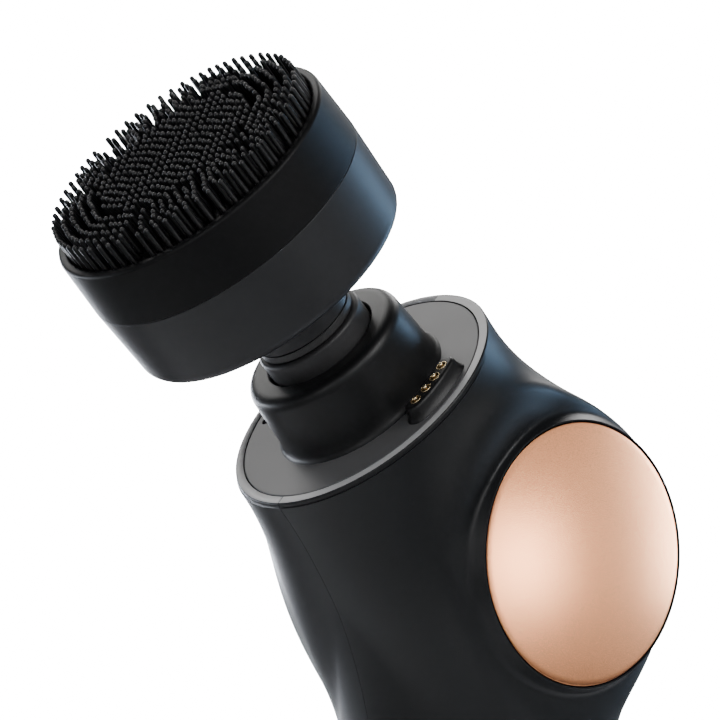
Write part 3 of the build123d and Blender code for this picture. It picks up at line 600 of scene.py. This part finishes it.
def collar_field(n, u, a):
    """Turned collar with a rounded top and a flared foot, and the soft block of the spring contacts."""
    ring = np.hypot(n, u)
    height = np.clip(a, 0, 20)
    side = ring - (COLLAR_R - COLLAR_LEAN * height + COLLAR_FLARE * np.exp(-height / COLLAR_FLARE_H))
    body = soft_max(side, a - COLLAR_TOP, 2.0)
    angle = np.clip(np.arctan2(u, n), -BLOCK_HALF_ANGLE, BLOCK_HALF_ANGLE)
    reach = np.hypot(n - PIN_RING_R * np.cos(angle), u - PIN_RING_R * np.sin(angle))
    flare = BLOCK_FLARE * np.exp(-height / BLOCK_FLARE_H)
    block = soft_max(reach - BLOCK_R - BLOCK_LEAN * (BLOCK_TOP - height) - flare, a - BLOCK_TOP, 0.6)
    d = soft_min(body, block, 1.6)
    return soft_max(d, ring - BLOCK_OUT, 0.6)


def collar_below(n, u, a):
    """The collar's field, carried a little under the plate's face for the cut along it."""
    return np.maximum(collar_field(n, u, a), -0.6 - a)


def pin_places():
    """Middle of each spring contact in the head frame, on a ring about the head axis."""
    step = PIN_PITCH / PIN_RING_R
    angles = [(i - (PIN_COUNT - 1) / 2) * step for i in range(PIN_COUNT)]
    return [(PIN_RING_R * math.cos(t), PIN_RING_R * math.sin(t)) for t in angles]


def make_collar():
    collar = skin_of("collar_shape", collar_below, (-16.8, -16.8, -1.2), (22.2, 16.8, 12.6), 0.2, settle=8)
    ground = [(0, 0), (60, 0), (60, 30), (0, 30)]
    combine(collar, turned("ground", ground), "INTERSECT")
    bore = NECK_R + 0.3
    hole = [(0, 14), (bore + 2.4, 14), (bore + 0.2, COLLAR_TOP - 0.1), (bore, COLLAR_TOP - 0.35),
            (bore, CHAMBER_TOP), (CHAMBER_R, CHAMBER_TOP), (CHAMBER_R, 4.0), (THROAT_R, 3.0),
            (THROAT_R, -3), (0, -3)]
    combine(collar, turned("bore", hole))
    wide = SLEEVE_R + 0.2
    for at in pin_places():
        hole = [(0, -3), (SLEEVE_R, -3), (SLEEVE_R, BLOCK_TOP - 0.15), (wide, BLOCK_TOP + 0.1), (wide, 6),
                (0, 6)]
        combine(collar, turned("contact_hole", hole, HEAD, 48, at))
    settle_normals(collar, collar_field)
    dress(collar, "handpiece", "collar_black", "collar")


# ---- turned parts ----------------------------------------------------------------------------------
def make_plate():
    """Flat grey ring with its small locating hole."""
    outline = [(PLATE_BORE_R, 0), (PLATE_R, 0, 0.18), (PLATE_R, -PLATE_T), (PLATE_BORE_R, -PLATE_T)]
    plate = turned("plate_face", outline, HEAD, 256)
    hole = [(0, 1), (PLATE_HOLE_R, 1), (PLATE_HOLE_R, -1.2), (PLATE_HOLE_R - 0.5, -1.4), (0, -1.4)]
    combine(plate, turned("notch", hole, HEAD, 48, PLATE_HOLE_AT))
    dress(smooth(plate), "handpiece", "plate_grey", "top_plate")


def join(target, other):
    """Adds the mesh of one object to another; the added object is used up."""
    joined = bmesh.new()
    joined.from_mesh(target.data)
    joined.from_mesh(other.data)
    joined.to_mesh(target.data)
    joined.free()
    bpy.data.objects.remove(other)


def make_contacts():
    """Four plungers, each in a sleeve; the sleeves are one object, as the barrels are one node."""
    mouth = BLOCK_TOP + 0.08
    sleeve = [(SLEEVE_BORE_R, -4), (SLEEVE_R, -4), (SLEEVE_R, mouth, 0.08), (0.78, mouth, 0.06),
              (0.76, BLOCK_TOP - 1.5), (SLEEVE_BORE_R, BLOCK_TOP - 1.6)]
    plunger = [(0, -2.9), (PLUNGER_R, -2.9), (PLUNGER_R, 0.7), (PLUNGER_TIP_R, 0.8),
               (PLUNGER_TIP_R, PLUNGER_TOP, PLUNGER_TIP_R - 0.04), (0, PLUNGER_TOP + 0.03)]
    sleeves = []
    for number, at in enumerate(pin_places(), start=1):
        sleeves.append(turned(f"sleeve_{number}", sleeve, HEAD, 40, at))
        pin = turned(f"plunger_{number}", plunger, HEAD, 32, at)
        dress(smooth(pin, 50), f"contact_pin_{number}", "gold_contact", f"contact_pin_{number}")
    for other in sleeves[1:]:
        join(sleeves[0], other)
    sleeves[0].name = "contact_sleeves"
    dress(smooth(sleeves[0], 50), "handpiece", "gold_contact", "contact_barrels")


def make_neck():
    """Black neck, the spigot that the hub sits on, the magnet's pocket in it, and the rod's bore."""
    pocket = SPIGOT_TOP - MAGNET_T
    outline = [(ROD_R, NECK_LOW), (NECK_R, NECK_LOW, 1.0), (NECK_R, NECK_TOP, 0.6),
               (SPIGOT_R, NECK_TOP, 0.2), (SPIGOT_R, SPIGOT_TOP, 0.8), (MAGNET_R, SPIGOT_TOP),
               (MAGNET_R, pocket), (0, pocket), (0, ROD_TOP), (ROD_R, ROD_TOP)]
    dress(smooth(turned("spindle_neck", outline)), "spindle", "spindle_black", "spindle_head")


def make_brush():
    """Hub and cup of the housing, the band round the hub's foot, and the silicone sleeve with its floor."""
    floor = BRUSH_LOW + 1.8
    bore = SPIGOT_R + 0.2
    cup = [(bore, HUB_LOW), (HUB_R, HUB_LOW, 0.25), (HUB_R, BRUSH_LOW, 1.0),
           (BRUSH_LOW_R - 0.05, BRUSH_LOW, 1.7), (BRUSH_R, BRUSH_SEAM, 0.14), (BRUSH_R - 2, BRUSH_SEAM),
           (BRUSH_R - 2.4, floor), (0, floor), (0, HUB_BORE_TOP), (bore, HUB_BORE_TOP)]
    dress(smooth(turned("brush_cup", cup, HEAD, 256)), "brush_head", "brush_plastic", "brush_housing")
    low = NECK_TOP + 0.12
    inner, outer = SPIGOT_R + 0.3, HUB_R + 0.15
    ring = [(inner, low), (outer, low, 0.15), (outer, HUB_LOW, 0.1), (inner, HUB_LOW)]
    dress(smooth(turned("hub_band", ring)), "brush_head", "hub_gloss", "hub_ring")
    inner, seam = BRUSH_R - 2.1, BRUSH_SEAM + 0.02
    sleeve = [(inner, seam), (BRUSH_R, seam, 0.16), (BRUSH_LIP_R, BRUSH_LIP, 0.62),
              (FIELD_R + 0.1, BRUSH_LIP, 0.5), (FIELD_R - 0.3, FIELD_LOW, 0.4), (0, FIELD_LOW),
              (0, 46.4), (22.1, 46.4), (22.1, 43), (inner, 43)]
    dress(smooth(turned("brush_sleeve", sleeve, HEAD, 256)), "brush_head", "silicone_black", "brush_pad")


# ---- bristles --------------------------------------------------------------------------------------
MIDDLE_R, COLUMN_PITCH, ROW_PITCH = 13.8, 1.5, 1.52
WAVE, WAVE_LENGTH = 0.4, 11.5
FAN_ROWS, ROWS_PER_FAN, BRISTLES_PER_ROW = 72, 6, 5
GAPS = (10, 34, 58)                                    # radial rows left out
FAN_LOW_R, FAN_PITCH = 15.5, 1.68
ROOT_R, TIP_R = 0.44, 0.4


def bristle_places():
    """Wavy rows in the middle, and fans of short radial rows round them."""
    places = []
    for row in range(-10, 11):
        for column in range(-10, 11):
            x = (column + row % 2 / 2) * COLUMN_PITCH
            y = row * ROW_PITCH + WAVE * math.sin(2 * math.pi * x / WAVE_LENGTH)
            if math.hypot(x, y) < MIDDLE_R:
                places.append((x, y))
    for k in range(FAN_ROWS):
        if k in GAPS:
            continue
        place_in_fan = k % ROWS_PER_FAN - (ROWS_PER_FAN - 1) / 2
        for step in range(BRISTLES_PER_ROW):
            inward = 1 - step / (BRISTLES_PER_ROW - 1)
            r = FAN_LOW_R + step * FAN_PITCH + 0.3 * math.sin(k * 0.9) * inward
            bend = math.radians(1.6) * math.sin(step * 1.1 + k * 0.5)
            bend -= math.radians(0.5) * place_in_fan * inward
            t = 2 * math.pi * k / FAN_ROWS + bend
            places.append((r * math.cos(t), r * math.sin(t)))
    return places


def bristle_lean(number, x, y):
    """How far a tip stands off its root: a small uneven lean, and outward near the lip."""
    spread = 0.02 * max(0, math.hypot(x, y) - 18) / math.hypot(x + 1, y)
    return 0.1 * math.sin(number * 2.4) + x * spread, 0.1 * math.cos(number * 1.7) + y * spread


def make_bristles():
    """One mesh of tapered rods with round tips, their roots in the silicone."""
    sides = 12
    dome = FIELD_TOP - TIP_R
    profile = [(ROOT_R + 0.12, FIELD_LOW - 0.15), (ROOT_R, FIELD_LOW + 0.25), (TIP_R, dome)]
    profile += [(TIP_R * math.cos(t), dome + TIP_R * math.sin(t)) for t in np.radians((25, 50, 72))]
    points, faces = [], []
    for number, (x, y) in enumerate(bristle_places()):
        lean = bristle_lean(number, x, y)
        start = len(points)
        for r, z in profile:
            share = (z - FIELD_LOW) / (FIELD_TOP - FIELD_LOW)
            at_x, at_y = x + lean[0] * share, y + lean[1] * share
            for k in range(sides):
                t = 2 * math.pi * k / sides
                points.append((at_x + r * math.cos(t), at_y + r * math.sin(t), z))
        top = start + (len(profile) - 1) * sides
        for at in range(start, top, sides):
            faces += band(at, sides)
        faces.append(tuple(range(top, top + sides)))
        faces.append(tuple(range(start + sides - 1, start - 1, -1)))
    field = mesh_object("bristles", points, faces)
    shade_round(field.data)
    dress(field, "brush_head", "silicone_black", "bristle_field", finish=BRISTLE)


# ---- gold discs ------------------------------------------------------------------------------------
def make_discs():
    """Two domed caps with a chamfered edge and a short skirt."""
    edge, steps = DISC_R - 0.3, 24
    inside = DISC_R - DISC_SKIRT
    crown = [(edge * k / steps, CROSS_HALF + DISC_RISE * (1 - (k / steps) ** 2)) for k in range(steps)]
    outline = crown + [(edge, CROSS_HALF), (DISC_R - 0.08, CROSS_HALF - 0.08), (DISC_R, CROSS_HALF - 0.28),
                       (DISC_R, DISC_LOW), (inside, DISC_LOW), (inside, DISC_HOLLOW), (0, DISC_HOLLOW)]
    for name, place in (("right", RIGHT), ("left", LEFT)):
        disc = turned(f"{name}_gold_cap", outline, place, 256)
        dress(smooth(disc, 40), "handpiece", "rose_gold", f"{name}_gold_disc")


# ---- stage, light and camera -----------------------------------------------------------------------
def plain(name, colour, glow, shown):
    """Matt paper that glows at one strength towards the object and at another towards the lens."""
    made = bpy.data.materials.new(name)
    made.use_nodes = True
    nodes, links = made.node_tree.nodes, made.node_tree.links
    shader = nodes["Principled BSDF"]
    ray = nodes.new("ShaderNodeLightPath")
    level = nodes.new("ShaderNodeMapRange")
    level.inputs["To Min"].default_value = glow
    level.inputs["To Max"].default_value = shown
    links.new(ray.outputs["Is Camera Ray"], level.inputs["Value"])
    links.new(level.outputs["Result"], shader.inputs["Emission Strength"])
    shader.inputs["Base Color"].default_value = (*colour, 1)
    shader.inputs["Roughness"].default_value = 0.9
    shader.inputs["Specular IOR Level"].default_value = 0.1
    shader.inputs["Emission Color"].default_value = (1, 1, 1, 1)
    return made


def make_stage():
    """Round studio dish: a flat pale floor that rises into its own backdrop, in metres."""
    floor_r, cove_r, wall_r, wall_top = 1.5, 0.9, 2.45, 2.2
    profile = [(0.3, 0), (floor_r, 0)]
    profile += [(floor_r + cove_r * math.sin(t), cove_r - cove_r * math.cos(t))
                for t in np.radians(range(6, 85, 6))]
    profile += [(wall_r, wall_top)]
    segments = 96
    turns = [2 * math.pi * k / segments for k in range(segments)]
    points = [(r * math.cos(t), r * math.sin(t), z) for r, z in profile for t in turns] + [(0, 0, 0)]
    faces = []
    for level in range(len(profile) - 1):
        faces += band(level * segments, segments)
    faces += [(len(points) - 1, k, (k + 1) % segments) for k in range(segments)]
    mesh = bpy.data.meshes.new("studio_dish")
    mesh.from_pydata(points, [], faces)
    shade_round(mesh)
    dish = add_object("studio_dish", mesh)
    dish.data.materials.append(plain("studio_paper", (0.85, 0.85, 0.86), 0.03, 22.0))


# The camera's place in metres and its turn in degrees; the softboxes are placed along its axes.
CAMERA_AT = Vector((0.46064, -0.41466, 0.08822))
CAMERA_TURN = Euler([math.radians(angle) for angle in (92.357, 0.367, 49.795)]).to_matrix()
CAMERA_RIGHT, CAMERA_UP, CAMERA_BACK = CAMERA_TURN.transposed()


def make_camera():
    lens = bpy.data.cameras.new("camera")
    lens.sensor_width = 36
    lens.lens = 189.58
    camera = add_object("camera", lens)
    camera.matrix_world = Matrix.Translation(CAMERA_AT) @ CAMERA_TURN.to_4x4()
    bpy.context.scene.camera = camera


def softbox(name, right, up, ahead, size, watts, colour, only=()):
    """Area light placed from the core along the camera's own axes, in metres, aimed at the core."""
    core = CORE * MM
    light = bpy.data.lights.new(name, "AREA")
    light.shape = "RECTANGLE"
    light.size, light.size_y = size
    light.energy = watts
    light.color = colour
    lamp = add_object(name, light)
    lamp.location = core + CAMERA_RIGHT * right + CAMERA_UP * up - CAMERA_BACK * ahead
    lamp.rotation_euler = (core - lamp.location).to_track_quat("-Z", "Y").to_euler()
    if only:
        lit = bpy.data.collections.new(f"{name}_lights")
        for piece in only:
            lit.objects.link(bpy.data.objects[piece])
        lamp.light_linking.receiver_collection = lit


def make_lights():
    discs = ("right_gold_cap", "left_gold_cap")
    softbox("top_back", -0.4, 0.64, 0.55, (0.6, 0.4), 2.9, (1, 0.99, 0.97))
    softbox("fill_left", -0.52, 0.1, -0.8, (0.3, 0.5), 1.2, (1, 0.99, 0.98))
    softbox("fill_right", 0.45, 0.5, -0.5, (0.4, 0.4), 3.6, (1, 0.99, 0.98))
    softbox("front", 0.1, 0.3, -0.85, (0.3, 0.3), 1.3, (1, 0.99, 0.98))
    softbox("lip_top", 0.17, 0.55, 0.8, (0.4, 0.3), 3, (1, 0.99, 0.98))
    softbox("rim_right", 0.6, 0.1, 0.48, (0.14, 0.6), 3.0, (0.4, 0.66, 1))
    softbox("rim_left", -0.66, -0.25, 0.42, (0.3, 0.5), 11, (0.85, 0.9, 1))
    softbox("edge_left", -0.36, -0.12, 0.85, (0.4, 0.6), 16, (0.85, 0.9, 1))
    softbox("disc_panel", 0.72, 0.0, -0.24, (0.12, 0.1), 0.65, (1, 0.97, 0.98), discs)
    softbox("disc_glow", 0.72, 0.1, -0.15, (0.5, 0.5), 0.6, (1, 0.96, 0.95), discs)
    softbox("disc_edge", 0.72, 0.07, 0.13, (0.07, 0.26), 2.4, (0.78, 0.89, 1), discs)
    world = bpy.data.worlds.new("studio")
    world.use_nodes = True
    sky = world.node_tree.nodes["Background"]
    sky.inputs["Color"].default_value = (0.95, 0.97, 1, 1)
    sky.inputs["Strength"].default_value = 0.06
    bpy.context.scene.world = world


# CAD nodes that stay in view or inside carry the material of their slot.
for subpart in frame["record"]["subparts"]:
    node = frame["nodes"][subpart["node"]]
    node.data.materials.clear()
    node.data.materials.append(SURFACES[subpart["material_slot"]])

make_camera()
make_stage()
make_body()
make_collar()
make_plate()
make_contacts()
make_neck()
make_brush()
make_bristles()
make_discs()
make_lights()
